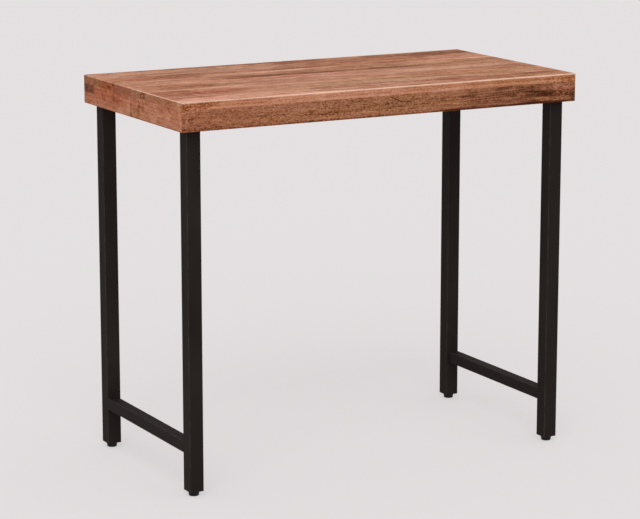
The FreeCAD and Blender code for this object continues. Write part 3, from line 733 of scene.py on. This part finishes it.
def around(x, y, reach, angle, height):
    """The point at a reach and an angle from an upright line."""
    return (x + reach * math.cos(angle), y + reach * math.sin(angle), height)


def turned(profile, x, y, steps=TURNED_STEPS):
    """Rings of a profile of (radius, height) turned about an upright line."""
    turns = [2 * math.pi * step / steps for step in range(steps)]
    return [[around(x, y, radius, angle, height) for angle in turns] for radius, height in profile]


def arc(radius, height, size, start, end):
    """Points of a profile's round edge, from one angle to another in degrees."""
    angles = [math.radians(start + (end - start) * step / ARC_STEPS) for step in range(ARC_STEPS + 1)]
    return [(radius + size * math.cos(a), height + size * math.sin(a)) for a in angles]


PAD_BASE_RADIUS = 0.0135
PAD_EDGE = 0.0022
PAD_RIM = 0.0008
PAD_SOLE = 0.004
STUD_HOLE_RADIUS = 0.00405


def foot_pad(corner):
    """The moulded foot under a leg, with its rounded lower edge and the blind hole of its stud."""
    node = f"{corner}_foot_pad"
    lowest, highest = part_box(node)
    radius = (highest.x - lowest.x) / 2
    profile = arc(PAD_BASE_RADIUS - PAD_EDGE, lowest.z + PAD_EDGE, PAD_EDGE, -90, 0)
    profile += arc(radius - PAD_RIM, highest.z - PAD_RIM, PAD_RIM, 0, 90)
    profile += [(STUD_HOLE_RADIUS, highest.z), (STUD_HOLE_RADIUS, lowest.z + PAD_SOLE)]
    centre = middle(node)
    piece = add_piece(f"{corner}_moulded_foot", [turned(profile, centre.x, centre.y)], foot_plastic,
                      f"{corner}_pad")
    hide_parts(node)


RINGS_PER_TURN = 6


def thread_rings(x, y, low, high, radius, pitch, depth, point, narrowing, steps):
    """Rings of a helical thread from one height to another, which narrows over the length of its point."""
    count = round((high - low) / pitch * RINGS_PER_TURN)
    rings = []
    for level in range(count + 1):
        height = low + (high - low) * level / count
        narrowest = radius - narrowing * max(0.0, 1 - (high - height) / point)
        ring = []
        for step in range(steps):
            turn = step / steps
            within = ((height - low) / pitch - turn) % 1
            flank = radius - depth * (1 - abs(2 * within - 1))
            ring.append(around(x, y, min(flank, narrowest), 2 * math.pi * turn, height))
        rings.append(ring)
    return rings


STUD_PITCH = 0.00125
STUD_THREAD = 0.0007
STUD_POINT = 0.001
STUD_STEPS = 24


def threaded_stud(corner):
    """The stud that a foot screws up and down on, with its helical thread."""
    node = f"{corner}_foot_stud"
    lowest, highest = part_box(node)
    centre = middle(node)
    radius = (highest.x - lowest.x) / 2
    rings = thread_rings(centre.x, centre.y, lowest.z, highest.z, radius, STUD_PITCH, STUD_THREAD,
                         STUD_POINT, STUD_POINT, STUD_STEPS)
    piece = add_piece(f"{corner}_threaded_stud", [rings], zinc, f"{corner}_stud")
    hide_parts(node)


SCREW_RADIUS = 0.0025
SCREW_PITCH = 0.0022
SCREW_THREAD = 0.0008
SCREW_POINT = 0.005
SCREW_NARROWING = 0.0022
SCREW_EDGE = 0.0015
SCREW_STEPS = 32
CROSS_REACH = 0.0028
CROSS_DEPTH = 0.0018


def cross_ring(x, y, height):
    """The outline of a driver's cross, with an arm's two corners one step to each side of its middle."""
    half_width = CROSS_REACH * math.tan(2 * math.pi / SCREW_STEPS)
    quarter = SCREW_STEPS // 4
    ring = []
    for step in range(SCREW_STEPS):
        steps_aside = min(step % quarter, quarter - step % quarter)
        aside = 2 * math.pi * steps_aside / SCREW_STEPS
        reach = CROSS_REACH / math.cos(aside) if steps_aside <= 1 else half_width / math.sin(aside)
        ring.append(around(x, y, reach, 2 * math.pi * step / SCREW_STEPS, height))
    return ring


def wood_screw(x, y, low, seat, high, head_radius):
    """Rings of a screw that points up, from the floor of its cross recess to its point."""
    profile = arc(head_radius - SCREW_EDGE, low + SCREW_EDGE, SCREW_EDGE, -90, 0)
    profile += [(head_radius, seat), (SCREW_RADIUS, seat)]
    recess = [cross_ring(x, y, low + CROSS_DEPTH), cross_ring(x, y, low)]
    shank = thread_rings(x, y, seat, high, SCREW_RADIUS, SCREW_PITCH, SCREW_THREAD, SCREW_POINT,
                         SCREW_NARROWING, SCREW_STEPS)
    return recess + turned(profile, x, y, SCREW_STEPS) + shank


def batten_screws():
    """The screws that hold the batten up against the middle of each stave it crosses."""
    batten_low, batten_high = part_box("centre_batten")
    lowest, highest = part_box("batten_screws")
    head_radius = (highest.x - lowest.x) / 2
    x = middle("centre_batten").x
    shells = []
    for number in range(1, len(STAVES) + 1):
        y = middle(f"top_stave_{number}").y
        if batten_low.y < y < batten_high.y:
            shells.append(wood_screw(x, y, lowest.z, batten_low.z, highest.z, head_radius))
    piece = add_piece("batten_wood_screws", shells, zinc, "desk")
    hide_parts("batten_screws")


WELD_RADIUS = 0.0019
WELD_RIPPLE = 0.0022
WELD_STEPS = 10
WELD_TIP = 0.05
RINGS_PER_RIPPLE = 4
RIPPLE_SHARE = 0.14


def weld_bead(start, end):
    """Rings of a rippled bead along the inside corner from start to end."""
    start, end = Vector(start), Vector(end)
    run = end - start
    along = run.normalized()
    side = along.orthogonal().normalized()
    other = along.cross(side)
    angles = [2 * math.pi * step / WELD_STEPS for step in range(WELD_STEPS)]
    spokes = [side * math.cos(angle) + other * math.sin(angle) for angle in angles]
    count = max(2, round(run.length / WELD_RIPPLE)) * RINGS_PER_RIPPLE
    rings = []
    for level in range(count + 1):
        share = level / count
        ripple = 1 - RIPPLE_SHARE * (level % RINGS_PER_RIPPLE) / RINGS_PER_RIPPLE
        taper = min(1.0, math.sqrt(min(share, 1 - share) * run.length / WELD_RADIUS + WELD_TIP))
        radius = WELD_RADIUS * ripple * taper
        rings.append([start + run * share + radius * spoke for spoke in spokes])
    return rings


def stretcher_welds(end):
    """The beads on three sides of a stretcher where it meets its legs; the outer face is ground flush."""
    low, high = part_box(f"{end}_stretcher")
    inner = high.x if end == "left" else low.x
    shells = []
    for y in (low.y, high.y):
        for z in (low.z, high.z):
            shells.append(weld_bead((low.x + WELD_RADIUS, y, z), (high.x - WELD_RADIUS, y, z)))
        shells.append(weld_bead((inner, y, low.z + WELD_RADIUS), (inner, y, high.z - WELD_RADIUS)))
    add_piece(f"{end}_stretcher_welds", shells, steel, "desk")


def plate_welds(corner):
    """The beads between a leg's two inner faces and the plate on its top."""
    low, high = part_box(f"{corner}_leg")
    inner_x = high.x if corner.endswith("left") else low.x
    inner_y = high.y if corner.startswith("front") else low.y
    shells = [
        weld_bead((inner_x, low.y + WELD_RADIUS, high.z), (inner_x, high.y - WELD_RADIUS, high.z)),
        weld_bead((low.x + WELD_RADIUS, inner_y, high.z), (high.x - WELD_RADIUS, inner_y, high.z)),
    ]
    add_piece(f"{corner}_plate_welds", shells, steel, "desk")


for corner in CORNERS:
    foot_pad(corner)
    threaded_stud(corner)
    plate_welds(corner)
for end in ENDS:
    stretcher_welds(end)
batten_screws()


# Floor, light and camera

BACKDROP = srgb(229, 225, 226)
FLOOR_REACH = 60.0
SHADOW_SHARE = 0.35
WORLD_LIGHT = 0.72
KEY_LIGHT = 1.25
KEY_SOFTNESS = 50.0
KEY_TOWARD = (0.45, 0.8, -0.8)


def seen_directly(graph):
    """1 for rays that show a surface to the eye: from the camera, a reflection or clear material."""
    path = graph.node("ShaderNodeLightPath", {}).outputs
    kinds = [Field(graph, path[kind]) for kind in ("Is Camera Ray", "Is Glossy Ray", "Is Transmission Ray")]
    return kinds[0].most(kinds[1]).most(kinds[2])


def floor_material():
    """A pale floor that is seen in the backdrop's colour, with a share of the desk's shadow."""
    graph = Graph(bpy.data.materials.new("pale_floor"))
    matt = graph.node("ShaderNodeBsdfDiffuse", {"Color": BACKDROP}).outputs[0]
    glow = graph.node("ShaderNodeEmission", {"Color": BACKDROP}).outputs[0]
    share = seen_directly(graph) * (1 - SHADOW_SHARE)
    blend = graph.node("ShaderNodeMixShader", {0: share, 1: matt, 2: glow}).outputs[0]
    graph.node("ShaderNodeOutputMaterial", {"Surface": blend})
    return graph.owner


def add_floor():
    """A wide level floor under the feet."""
    half = FLOOR_REACH / 2
    mesh = bpy.data.meshes.new("floor")
    spots = [(-half, -half, FLOOR), (half, -half, FLOOR), (half, half, FLOOR), (-half, half, FLOOR)]
    mesh.from_pydata(spots, [], [range(len(spots))])
    mesh.materials.append(floor_material())
    floor = bpy.data.objects.new("floor", mesh)
    bpy.context.scene.collection.objects.link(floor)


def light_world():
    """An even pale surround that also shows behind the desk."""
    world = bpy.data.worlds.new("studio")
    graph = Graph(world)
    lamp = graph.node("ShaderNodeBackground", {"Color": (1, 1, 1, 1), "Strength": WORLD_LIGHT}).outputs[0]
    shown = graph.node("ShaderNodeBackground", {"Color": BACKDROP}).outputs[0]
    blend = graph.node("ShaderNodeMixShader", {0: seen_directly(graph), 1: lamp, 2: shown}).outputs[0]
    graph.node("ShaderNodeOutputWorld", {"Surface": blend})
    bpy.context.scene.world = world


def add_sun(name, strength, softness, toward):
    """A soft lamp that shines along a direction."""
    data = bpy.data.lights.new(name, "SUN")
    data.energy = strength
    data.angle = math.radians(softness)
    lamp = bpy.data.objects.new(name, data)
    lamp.rotation_euler = Vector(toward).to_track_quat("-Z", "Y").to_euler()
    bpy.context.scene.collection.objects.link(lamp)


# The camera that saw the desk in the photograph, whose picture is 640 pixels wide
PICTURE_WIDTH = 640
FOCAL_PIXELS = 2474.2
SENSOR_WIDTH = 36.0
CAMERA_PLACE = (-3.2571, -5.9125, 1.9409)
CAMERA_DOWN = 11.81
CAMERA_TURN = -28.61


def add_camera():
    """The photograph's camera, by its place and its angles in degrees."""
    data = bpy.data.cameras.new("camera")
    data.sensor_width = SENSOR_WIDTH
    data.lens = FOCAL_PIXELS * SENSOR_WIDTH / PICTURE_WIDTH
    camera = bpy.data.objects.new("camera", data)
    camera.location = CAMERA_PLACE
    camera.rotation_euler = (math.radians(90 - CAMERA_DOWN), 0, math.radians(CAMERA_TURN))
    bpy.context.scene.collection.objects.link(camera)
    bpy.context.scene.camera = camera


add_floor()
light_world()
add_sun("key", KEY_LIGHT, KEY_SOFTNESS, KEY_TOWARD)
add_camera()
bpy.context.scene.view_settings.view_transform = "Standard"
